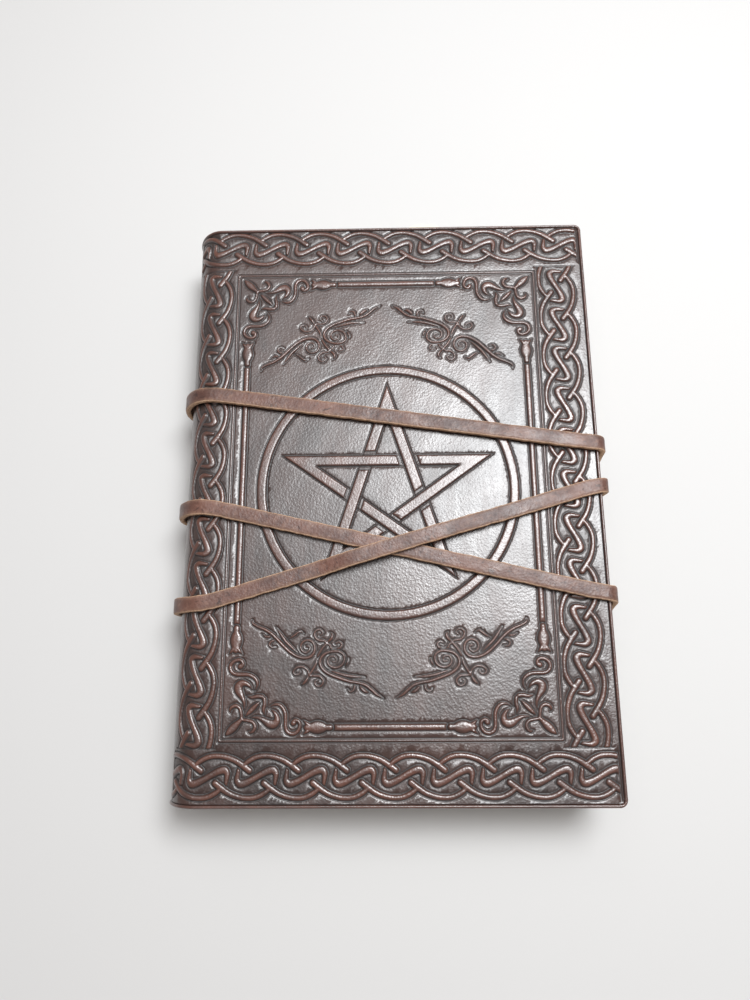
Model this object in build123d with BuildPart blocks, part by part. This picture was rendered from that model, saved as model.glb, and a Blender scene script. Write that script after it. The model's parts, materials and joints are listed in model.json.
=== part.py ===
from build123d import *
import os
from math import cos, atan, sqrt

os.makedirs("parts", exist_ok=True)

# A hand-bound leather journal, closed, lying on its back cover with a flat
# leather thong wound round it.  Millimetres, +Z up, +X from the spine to the
# fore-edge, +Y from the tail to the head.  The origin is under the middle of
# the book, on the surface that the thong's lower bands rest on.

cover_width = 127.0        # outside of the spine to the fore-edge
cover_height = 178.0       # tail to head
book_thickness = 25.0      # both covers and the text block
leather = 1.5              # embossed cover leather
board = 1.8                # stiff board inside each cover
turn_in = 0.6              # skived leather folded over the board's edges
turn_in_width = 12.0       # how far the turn-ins reach over the board
edge_round = 1.2           # soft outer arris of the leather
spine_depth = 9.5          # how far the rounded spine stands out from the covers
lining = 0.7               # cloth and paper lining glued inside the spine
tape_thickness = 0.5       # linen sewing tapes over the backs of the sections
thong_thickness = 1.8
thong_width = 4.5
thong_gap = 0.3            # the wrap lies this far off the leather
leaf = 0.25                # one sheet of cotton paper
leaf_gap = 0.1
section_count = 8
paper_inset = 2.0          # the covers overhang the paper by this much

cover = leather + board + turn_in
half_w = cover_width / 2
half_h = cover_height / 2
z_back = thong_thickness + thong_gap          # underside of the back cover
z_front = z_back + book_thickness             # top of the front cover
z_mid = (z_back + z_front) / 2
x_joint = -half_w + spine_depth               # where the covers meet the spine
x_board = x_joint + 3.0                       # the boards stop short of the fold
x_paper = half_w - paper_inset
y_paper = half_h - paper_inset
half_t = book_thickness / 2


# ---- Back cover: leather tray, board and pastedown ----
with BuildPart() as back_cover_leather:
    with BuildSketch(Plane.XY.offset(z_back)):
        with Locations(((x_joint + half_w) / 2, 0)):
            Rectangle(half_w - x_joint, cover_height)
    extrude(amount=cover)
    # Soft arris round the tail, head and fore-edge of the outer face.
    outer_face = back_cover_leather.faces().sort_by(Axis.Z)[0]
    fillet(outer_face.edges().sort_by(Axis.X)[1:], edge_round)
    # Room for the board, open towards the spine fold.
    with BuildSketch(Plane.XY.offset(z_back + leather)):
        with Locations(((x_joint + half_w - leather) / 2, 0)):
            Rectangle(half_w - leather - x_joint, cover_height - 2 * leather)
    extrude(amount=board, mode=Mode.SUBTRACT)
    # Window between the turn-ins, filled by the pastedown.
    with BuildSketch(Plane.XY.offset(z_back + leather + board)):
        with Locations(((x_joint + half_w - turn_in_width) / 2, 0)):
            Rectangle(half_w - turn_in_width - x_joint, cover_height - 2 * turn_in_width)
    extrude(amount=turn_in, mode=Mode.SUBTRACT)
back_cover_leather.part.label = "back_cover_leather"

with BuildPart() as back_cover_board:
    with BuildSketch(Plane.XY.offset(z_back + leather)):
        with Locations(((x_board + half_w - leather) / 2, 0)):
            Rectangle(half_w - leather - x_board, cover_height - 2 * leather)
    extrude(amount=board)
back_cover_board.part.label = "back_cover_board"

with BuildPart() as back_pastedown:
    with BuildSketch(Plane.XY.offset(z_back + leather + board)):
        with Locations(((x_board + half_w - turn_in_width) / 2, 0)):
            Rectangle(half_w - turn_in_width - x_board, cover_height - 2 * turn_in_width)
    extrude(amount=turn_in)
back_pastedown.part.label = "back_pastedown"


# ---- Front cover: the same three layers, turned over ----
with BuildPart() as front_cover_leather:
    with BuildSketch(Plane.XY.offset(z_front - cover)):
        with Locations(((x_joint + half_w) / 2, 0)):
            Rectangle(half_w - x_joint, cover_height)
    extrude(amount=cover)
    outer_face = front_cover_leather.faces().sort_by(Axis.Z)[-1]
    fillet(outer_face.edges().sort_by(Axis.X)[1:], edge_round)
    with BuildSketch(Plane.XY.offset(z_front - leather - board)):
        with Locations(((x_joint + half_w - leather) / 2, 0)):
            Rectangle(half_w - leather - x_joint, cover_height - 2 * leather)
    extrude(amount=board, mode=Mode.SUBTRACT)
    with BuildSketch(Plane.XY.offset(z_front - cover)):
        with Locations(((x_joint + half_w - turn_in_width) / 2, 0)):
            Rectangle(half_w - turn_in_width - x_joint, cover_height - 2 * turn_in_width)
    extrude(amount=turn_in, mode=Mode.SUBTRACT)
front_cover_leather.part.label = "front_cover_leather"

with BuildPart() as front_cover_board:
    with BuildSketch(Plane.XY.offset(z_front - leather - board)):
        with Locations(((x_board + half_w - leather) / 2, 0)):
            Rectangle(half_w - leather - x_board, cover_height - 2 * leather)
    extrude(amount=board)
front_cover_board.part.label = "front_cover_board"

with BuildPart() as front_pastedown:
    with BuildSketch(Plane.XY.offset(z_front - cover)):
        with Locations(((x_board + half_w - turn_in_width) / 2, 0)):
            Rectangle(half_w - turn_in_width - x_board, cover_height - 2 * turn_in_width)
    extrude(amount=turn_in)
front_pastedown.part.label = "front_pastedown"


# ---- Rounded spine: half an elliptical tube, and its lining ----
# The spine leather stops 0.3 mm short of the front cover, where it folds.
with BuildPart() as spine_leather:
    with BuildSketch(Plane.XZ.offset(-half_h)):
        with Locations((x_joint, z_mid)):
            Ellipse(spine_depth, half_t)
            Ellipse(spine_depth - leather, half_t - leather, mode=Mode.SUBTRACT)
        with Locations((x_joint + spine_depth, z_mid)):
            Rectangle(2 * spine_depth, book_thickness, mode=Mode.SUBTRACT)
        with Locations((x_joint - 0.15, z_front - leather)):
            Rectangle(0.3, 2 * leather + 0.4, mode=Mode.SUBTRACT)
    extrude(amount=cover_height)
spine_leather.part.label = "spine_leather"

lining_half = y_paper - 1.0
with BuildPart() as spine_lining:
    with BuildSketch(Plane.XZ.offset(-lining_half)):
        with Locations((x_joint, z_mid)):
            Ellipse(spine_depth - leather, half_t - leather)
            Ellipse(spine_depth - leather - lining, half_t - leather - lining, mode=Mode.SUBTRACT)
        with Locations((x_joint + spine_depth, z_mid)):
            Rectangle(2 * spine_depth, book_thickness, mode=Mode.SUBTRACT)
        # The lining ends level with the text block, clear of both folds.
        with Locations((x_joint - spine_depth, z_front - cover + 5.0), (x_joint - spine_depth, z_back + cover - 5.0)):
            Rectangle(4 * spine_depth, 10.0, mode=Mode.SUBTRACT)
    extrude(amount=2 * lining_half)
spine_lining.part.label = "spine_lining"


# ---- Sewing tapes and kettle stitches over the backs of the sections ----
a_tape = spine_depth - leather - lining        # outside of the tapes
b_tape = half_t - leather - lining
a_fold = a_tape - tape_thickness               # where the section folds end
b_fold = b_tape - tape_thickness
z_block_low = z_back + cover + leaf            # the back flyleaf lies below
loose_leaves = 5                               # the flyleaf and four top leaves
z_block_high = z_front - cover - loose_leaves * (leaf + leaf_gap)
tape_reach = 6.6                               # half of the arc's height

sewing = {
    "sewing_tape_tail": (-52.0, 9.0),
    "sewing_tape_middle": (0.0, 9.0),
    "sewing_tape_head": (52.0, 9.0),
    "kettle_stitch_tail": (-76.0, 0.6),
    "kettle_stitch_head": (76.0, 0.6),
}
for name, (y_centre, width) in sewing.items():
    with BuildPart() as stitch:
        with BuildSketch(Plane.XZ.offset(-(y_centre + width / 2))):
            with Locations((x_joint, z_mid)):
                Ellipse(a_tape, b_tape)
                Ellipse(a_fold, b_fold, mode=Mode.SUBTRACT)
            with Locations((x_joint + spine_depth, z_mid)):
                Rectangle(2 * spine_depth, book_thickness, mode=Mode.SUBTRACT)
            with Locations((x_joint - spine_depth, z_mid + tape_reach + 5.0), (x_joint - spine_depth, z_mid - tape_reach - 5.0)):
                Rectangle(4 * spine_depth, 10.0, mode=Mode.SUBTRACT)
        extrude(amount=width)
    stitch.part.label = name
    export_step(stitch.part, "parts/" + name + ".step")


# ---- Text block: eight folded sections, rounded into the spine ----
section_thickness = (z_block_high - z_block_low) / section_count
for i in range(section_count):
    z_low = z_block_low + i * section_thickness
    z_high = z_low + section_thickness
    # The fold of each section just reaches the tapes' inner ellipse.
    z_far = max(abs(z_low - z_mid), abs(z_high - z_mid))
    x_fold = x_joint - a_fold * sqrt(1 - (z_far / b_fold) ** 2)
    with BuildPart() as section:
        with BuildSketch(Plane.XY.offset(z_low)):
            with Locations(((x_fold + x_paper) / 2, 0)):
                Rectangle(x_paper - x_fold, 2 * y_paper)
        extrude(amount=section_thickness)
        fold_edges = section.edges().filter_by(Axis.Y).sort_by(Axis.X)[:2]
        fillet(fold_edges, section_thickness * 0.48)
    section.part.label = "section_" + str(i + 1)
    export_step(section.part, "parts/section_" + str(i + 1) + ".step")

with BuildPart() as back_flyleaf:
    with BuildSketch(Plane.XY.offset(z_back + cover)):
        with Locations(((x_board + x_paper) / 2, 0)):
            Rectangle(x_paper - x_board, 2 * y_paper)
    extrude(amount=leaf)
back_flyleaf.part.label = "back_flyleaf"


# ---- Loose leaves at the front: the flyleaf and four leaves below it ----
x_leaf = x_joint + 0.3
for i in range(loose_leaves):
    z_leaf = z_front - cover - (i + 1) * (leaf + leaf_gap)
    with BuildPart() as sheet:
        with BuildSketch(Plane.XY.offset(z_leaf)):
            with Locations(((x_leaf + x_paper) / 2, 0)):
                Rectangle(x_paper - x_leaf, 2 * y_paper)
        extrude(amount=leaf)
    sheet_name = "front_flyleaf" if i == 0 else "leaf_" + str(i)
    sheet.part.label = sheet_name
    export_step(sheet.part, "parts/" + sheet_name + ".step")


# ---- Wrap thong: one flat strap wound round the book ----
# Three bands cross the front cover, and two bands and two tails lie beneath.
x_turn = half_w - 1.5                          # where the strap turns round the fore-edge
y_a_left, y_a_right = 30.5, 13.5               # the upper band
y_b_left, y_b_right = -33.8, 0.5               # the last band, over the others
y_c_left, y_c_right = -5.0, -31.6              # the middle band
z_strap = z_front + thong_gap                  # underside of the upper bands
hump = thong_thickness + 0.3                   # the last band steps over the middle one
x_tail_1, y_tail_1 = -14.0, -9.0               # free end below the last band
x_tail_2, y_tail_2 = 22.0, 26.0                # free end below the upper band

flat_top = [(x_joint, z_strap), (x_turn, z_strap), (x_turn, z_strap + thong_thickness), (x_joint, z_strap + thong_thickness)]
hump_top = [
    (x_joint, z_strap), (-22.0, z_strap), (-10.0, z_strap + hump), (10.0, z_strap + hump), (44.0, z_strap), (x_turn, z_strap),
    (x_turn, z_strap + thong_thickness), (44.0, z_strap + thong_thickness), (10.0, z_strap + hump + thong_thickness),
    (-10.0, z_strap + hump + thong_thickness), (-22.0, z_strap + thong_thickness), (x_joint, z_strap + thong_thickness),
]

straps = [
    # start x, start y, end x, end y, side profile
    (x_joint, y_a_left, x_turn, y_a_right, flat_top),
    (x_joint, y_b_left, x_turn, y_b_right, hump_top),
    (x_joint, y_c_left, x_turn, y_c_right, flat_top),
    (x_joint, y_c_left, x_turn, y_a_right, None),
    (x_joint, y_b_left, x_turn, y_c_right, None),
    (x_tail_1, y_tail_1, x_turn, y_b_right, None),
    (x_joint, y_a_left, x_tail_2, y_tail_2, None),
]
strap_pieces = []
for x0, y0, x1, y1, profile in straps:
    reach = thong_width / 2 / cos(atan((y1 - y0) / (x1 - x0)))
    with BuildPart(mode=Mode.PRIVATE) as strip:
        if profile is None:
            with BuildSketch(Plane.XY):
                with BuildLine():
                    Polyline((x0, y0 - reach), (x1, y1 - reach), (x1, y1 + reach), (x0, y0 + reach), close=True)
                make_face()
            extrude(amount=thong_thickness)
        else:
            with BuildSketch(Plane.XZ.offset(-half_h)):
                with BuildLine():
                    Polyline(*profile, close=True)
                make_face()
            extrude(amount=cover_height)
            with BuildSketch(Plane.XY):
                with BuildLine():
                    Polyline((x0, y0 - reach), (x1, y1 - reach), (x1, y1 + reach), (x0, y0 + reach), close=True)
                make_face()
            extrude(amount=2 * z_front, mode=Mode.INTERSECT)
    strap_pieces.append(strip.part)

turn_width = thong_width + 0.2
with BuildPart() as wrap_thong:
    # Turns round the spine follow its ellipse.
    for y_centre in (y_a_left, y_b_left, y_c_left):
        with BuildSketch(Plane.XZ.offset(-(y_centre + turn_width / 2))):
            with Locations((x_joint, z_mid)):
                Ellipse(spine_depth + thong_gap + thong_thickness, half_t + thong_gap + thong_thickness)
                Ellipse(spine_depth + thong_gap, half_t + thong_gap, mode=Mode.SUBTRACT)
            with Locations((x_joint + 20.0, z_mid)):
                Rectangle(40.0, 2 * book_thickness, mode=Mode.SUBTRACT)
        extrude(amount=turn_width)
    # Turns round the fore-edge run straight down past both covers.
    r_in = thong_gap + 1.5
    r_out = r_in + thong_thickness
    for y_centre in (y_a_right, y_b_right, y_c_right):
        with BuildSketch(Plane.XZ.offset(-(y_centre + turn_width / 2))):
            with BuildLine():
                Polyline((x_turn, z_strap + thong_thickness), (x_turn, z_strap))
                RadiusArc((x_turn, z_strap), (x_turn + r_in, z_strap - r_in), r_in)
                Line((x_turn + r_in, z_strap - r_in), (x_turn + r_in, thong_thickness + r_in))
                RadiusArc((x_turn + r_in, thong_thickness + r_in), (x_turn, thong_thickness), r_in)
                Polyline((x_turn, thong_thickness), (x_turn, 0.0))
                RadiusArc((x_turn, 0.0), (x_turn + r_out, r_out), -r_out)
                Line((x_turn + r_out, r_out), (x_turn + r_out, z_strap + thong_thickness - r_out))
                RadiusArc((x_turn + r_out, z_strap + thong_thickness - r_out), (x_turn, z_strap + thong_thickness), -r_out)
            make_face()
        extrude(amount=turn_width)
    for piece in strap_pieces:
        add(piece)
wrap_thong.part.label = "wrap_thong"

for piece in (
    back_cover_leather, back_cover_board, back_pastedown,
    front_cover_leather, front_cover_board, front_pastedown,
    spine_leather, spine_lining, back_flyleaf, wrap_thong,
):
    export_step(piece.part, "parts/" + piece.part.label + ".step")
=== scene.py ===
import json
import bpy
import numpy as np
from mathutils import Matrix, Vector

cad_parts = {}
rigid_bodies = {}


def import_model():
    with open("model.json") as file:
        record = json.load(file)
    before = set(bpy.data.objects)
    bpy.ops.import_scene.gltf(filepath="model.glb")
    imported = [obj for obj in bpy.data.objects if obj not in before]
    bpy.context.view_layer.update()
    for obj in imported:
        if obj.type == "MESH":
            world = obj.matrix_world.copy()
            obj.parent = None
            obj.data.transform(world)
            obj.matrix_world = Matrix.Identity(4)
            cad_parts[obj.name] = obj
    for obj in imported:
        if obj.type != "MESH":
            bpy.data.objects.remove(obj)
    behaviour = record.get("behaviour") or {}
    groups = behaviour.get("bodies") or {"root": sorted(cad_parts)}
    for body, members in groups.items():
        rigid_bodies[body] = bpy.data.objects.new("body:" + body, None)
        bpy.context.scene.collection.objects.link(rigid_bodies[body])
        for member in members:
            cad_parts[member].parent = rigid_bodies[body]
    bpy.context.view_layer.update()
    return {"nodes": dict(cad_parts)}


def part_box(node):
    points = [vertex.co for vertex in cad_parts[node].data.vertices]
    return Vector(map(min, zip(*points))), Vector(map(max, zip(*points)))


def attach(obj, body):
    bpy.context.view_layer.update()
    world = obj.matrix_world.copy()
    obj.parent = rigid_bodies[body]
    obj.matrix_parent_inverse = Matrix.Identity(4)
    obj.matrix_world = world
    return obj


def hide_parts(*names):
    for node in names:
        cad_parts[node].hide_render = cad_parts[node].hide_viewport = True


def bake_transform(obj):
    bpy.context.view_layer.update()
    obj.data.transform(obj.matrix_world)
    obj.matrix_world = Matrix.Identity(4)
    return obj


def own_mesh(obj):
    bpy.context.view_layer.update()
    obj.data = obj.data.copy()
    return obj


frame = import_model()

mm = 0.001

# everything below is worked out in millimetres and divided down when it goes into a mesh
book = dict(
    halfWidth=63.5, halfHeight=89.0,      # cover, spine outside to fore-edge and tail to head
    back=2.1, front=27.1,                 # outer faces of the two covers
    joint=-54.0,                          # where the covers meet the spine
    spineDepth=9.5, spineHalf=12.5,       # semi-axes of the rounded spine
    cover=3.9, leather=1.5,
    foldStart=-57.6, foldEnd=-50.6,       # the leather bends between these when the cover opens
)
middle = (book["back"] + book["front"]) / 2


# arc length down the spine's quarter ellipse, as a table from angle to length
spineAngle = np.linspace(0, np.pi / 2 + 0.35, 600)
spineStep = np.hypot(book["spineDepth"] * np.cos(spineAngle), book["spineHalf"] * np.sin(spineAngle))
spineLength = np.concatenate([[0], np.cumsum((spineStep[1:] + spineStep[:-1]) / 2 * np.diff(spineAngle))])
spineSeam = book["joint"] - float(np.interp(np.pi / 2, spineAngle, spineLength))     # front and back leather meet here


# ramp from 0 to 1 between a and b, eased at both ends: u*u*(3-2u)
def ease(x, a, b):
    u = np.clip((x - a) / (b - a), 0, 1)
    return u * u * (3 - 2 * u)


# curve through the rows of points: each span is the cubic whose end slopes are half the chord of its neighbours
def throughPoints(points, step=0.3):
    p = np.asarray(points, float)
    p = np.vstack([2 * p[0] - p[1], p, 2 * p[-1] - p[-2]])
    out = []
    for a, b, c, d in zip(p[:-3], p[1:-2], p[2:-1], p[3:]):
        n = max(2, int(np.ceil(np.linalg.norm((c - b)[:2]) / step)))
        t = (np.arange(n) / n)[:, None]
        out.append(0.5 * (2 * b + (c - a) * t + (2 * a - 5 * b + 4 * c - d) * t**2 + (3 * b - a - 3 * c + d) * t**3))
    out.append(p[-2:-1])
    return np.vstack(out)


# cells of a grid of points as quads, joined round where asked
def gridQuads(rows, cols, loopRows=False, loopCols=False):
    r = np.arange(rows if loopRows else rows - 1)
    c = np.arange(cols if loopCols else cols - 1)
    i, j = np.meshgrid(r, c, indexing="ij")
    i2, j2 = (i + 1) % rows, (j + 1) % cols
    return np.stack([i * cols + j, i2 * cols + j, i2 * cols + j2, i * cols + j2], -1).reshape(-1, 4)


# an object from points in millimetres and four-cornered faces, all handed over as flat arrays
def makePiece(name, points, faces, smooth=True):
    points = np.asarray(points, float).reshape(-1, 3) * mm
    faces = np.asarray(faces, int)
    sides = faces.shape[1]
    mesh = bpy.data.meshes.new(name)
    mesh.vertices.add(len(points))
    mesh.vertices.foreach_set("co", points.ravel().astype(np.float32))
    mesh.loops.add(faces.size)
    mesh.loops.foreach_set("vertex_index", faces.ravel().astype(np.int32))
    mesh.polygons.add(len(faces))
    mesh.polygons.foreach_set("loop_start", np.arange(0, faces.size, sides, dtype=np.int32))
    mesh.update(calc_edges=True)
    mesh.validate()
    mesh.polygons.foreach_set("use_smooth", np.full(len(mesh.polygons), smooth))
    piece = bpy.data.objects.new(name, mesh)
    bpy.context.scene.collection.objects.link(piece)
    return piece


# a number per point that the materials read by name
def mark(piece, name, values):
    attribute = piece.data.attributes.new(name, "FLOAT", "POINT")
    attribute.data.foreach_set("value", np.asarray(values, np.float32).ravel())


# the points of a piece as rows of millimetres
def coordinates(piece):
    co = np.empty(len(piece.data.vertices) * 3, np.float32)
    piece.data.vertices.foreach_get("co", co)
    return co.reshape(-1, 3).astype(float) / mm


# height of a raster at any place, from its four nearest cells in proportion
def readRaster(raster, x, y):
    u = np.clip((x - raster["x0"]) / raster["step"], 0, raster["z"].shape[1] - 1.001)
    v = np.clip((y - raster["y0"]) / raster["step"], 0, raster["z"].shape[0] - 1.001)
    i, j = v.astype(int), u.astype(int)
    fv, fu = v - i, u - j
    z = raster["z"]
    return (z[i, j] * (1 - fv) + z[i + 1, j] * fv) * (1 - fu) + (z[i, j + 1] * (1 - fv) + z[i + 1, j + 1] * fv) * fu


# running average with a bell-shaped weight, along rows and then along columns
def blur(z, cells):
    k = np.arange(-int(3 * cells), int(3 * cells) + 1)
    w = np.exp(-0.5 * (k / cells) ** 2)
    w /= w.sum()
    for axis in (0, 1):
        pad = [(0, 0), (0, 0)]
        pad[axis] = (len(k) // 2, len(k) // 2)
        padded = np.pad(z, pad, mode="edge")
        z = sum(wi * np.take(padded, np.arange(z.shape[axis]) + n, axis=axis) for n, wi in enumerate(w))
    return z


# heights of the embossing, measured from the outside of the leather
relief = dict(
    field=-0.40,          # smooth leather between the figures
    groove=-0.86,         # pressed line round each strand
    strand=0.0,           # top of the strands, level with the outside of the leather
    grooveWidth=0.42,
    grid=0.25,            # spacing of the front cover's mesh
    backGrid=0.36,
)


# how far each cell is outside a tapered stroke, and the stroke's half width there:
# the distance to the nearest point of each short run, less the half width, least of all runs
def strokeReach(X, Y, strokes, margin=0.8):
    reach = np.full(X.shape, 9.0)
    width = np.ones(X.shape)
    for line in strokes:
        p = throughPoints(line)
        p[:, 2] = np.maximum(p[:, 2], 0.04)
        for (ax, ay, aw), (bx, by, bw) in zip(p[:-1], p[1:]):
            m = max(aw, bw) + margin
            jj = np.searchsorted(X[0], [min(ax, bx) - m, max(ax, bx) + m])
            ii = np.searchsorted(Y[:, 0], [min(ay, by) - m, max(ay, by) + m])
            if jj[0] >= jj[1] or ii[0] >= ii[1]:
                continue
            cut = (slice(ii[0], ii[1]), slice(jj[0], jj[1]))
            dx, dy = X[cut] - ax, Y[cut] - ay
            ex, ey = bx - ax, by - ay
            t = np.clip((dx * ex + dy * ey) / (ex * ex + ey * ey + 1e-9), 0, 1)
            w = aw + t * (bw - aw)
            e = np.hypot(dx - t * ex, dy - t * ey) - w
            nearer = e < reach[cut]
            reach[cut] = np.where(nearer, e, reach[cut])
            width[cut] = np.where(nearer, w, width[cut])
    return reach, width


# a raised strand: its top is a rounded crown, it drops into a groove at its edge, and the groove climbs back to
# what lies outside; later strands cover earlier ones, so they pass over them
def raiseStrand(z, reach, width, top=None, grooveWidth=None, crown=2.6):
    top = relief["strand"] if top is None else top
    g = relief["grooveWidth"] if grooveWidth is None else grooveWidth
    low = relief["groove"]
    r = np.clip(1 + reach / np.maximum(width, 0.05), 0, 1)
    peak = low + (top - low) * np.clip(0.45 + width / 0.9, 0, 1)
    body = low + (peak - low) * np.sqrt(np.clip(1 - r**crown, 0, 1))
    bank = low + (relief["field"] - low) * ease(reach, 0.08, g)
    z = np.where((reach > 0) & (reach < g), np.minimum(z, bank), z)
    return np.where(reach <= 0, body, z)


# an even grid of places between two corners, all at the height of plain leather
def raster(x0, x1, y0, y1, step):
    x, y = np.arange(x0, x1 + step / 2, step), np.arange(y0, y1 + step / 2, step)
    X, Y = np.meshgrid(x, y)
    return X, Y, dict(x0=x0, y0=y0, step=step, z=np.full(X.shape, relief["field"]))


# one repeat of the knotwork, centred on its middle strand; half of it is the other half turned upside down
knot = dict(
    period=13.4,
    scallop=[
        (-3.9, 2.9, 0.4), (-2.55, 3.95, 0.78), (-0.55, 5.0, 0.8), (1.45, 5.42, 0.8), (3.45, 5.36, 0.8),
        (5.45, 4.95, 0.84), (7.45, 4.2, 0.88), (9.4, 3.0, 0.94), (11.35, 1.62, 1.0)
    ],
    middle=[
        (-5.0, 2.6, 0.42), (-5.1, 1.3, 0.6), (-5.28, 0.1, 0.76), (-5.25, -1.0, 0.95), (-4.45, -1.8, 1.16),
        (-3.0, -1.5, 1.1), (-1.3, -0.72, 1.0), (0, 0, 0.96), (1.3, 0.72, 1.0), (3.0, 1.5, 1.1), (4.45, 1.8, 1.16),
        (5.25, 1.0, 0.95), (5.28, -0.1, 0.76), (5.1, -1.3, 0.6), (5.0, -2.6, 0.42)
    ],
)


# the repeat is its middle strands, one period apart, with the scalloped strands laid over them
def knotTile():
    X, Y, tile = raster(-knot["period"] / 2, knot["period"] / 2, -7.0, 7.0, 0.05)
    inside = np.abs(Y) < 4.4
    tile["z"] = np.where(inside, relief["field"] - 0.12, relief["field"])
    places = [(k * knot["period"], side) for k in (-2, -1, 0, 1, 2) for side in (1, -1)]
    arcs = [[(side * (x + shift), side * y, w) for x, y, w in knot["scallop"]] for shift, side in places]
    for k in (-1, 0, 1):
        shifted = [(x + k * knot["period"], y, w) for x, y, w in knot["middle"]]
        tile["z"] = raiseStrand(tile["z"], *strokeReach(X, Y, [shifted]))
    tile["z"] = raiseStrand(tile["z"], *strokeReach(X, Y, arcs))
    return tile


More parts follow.
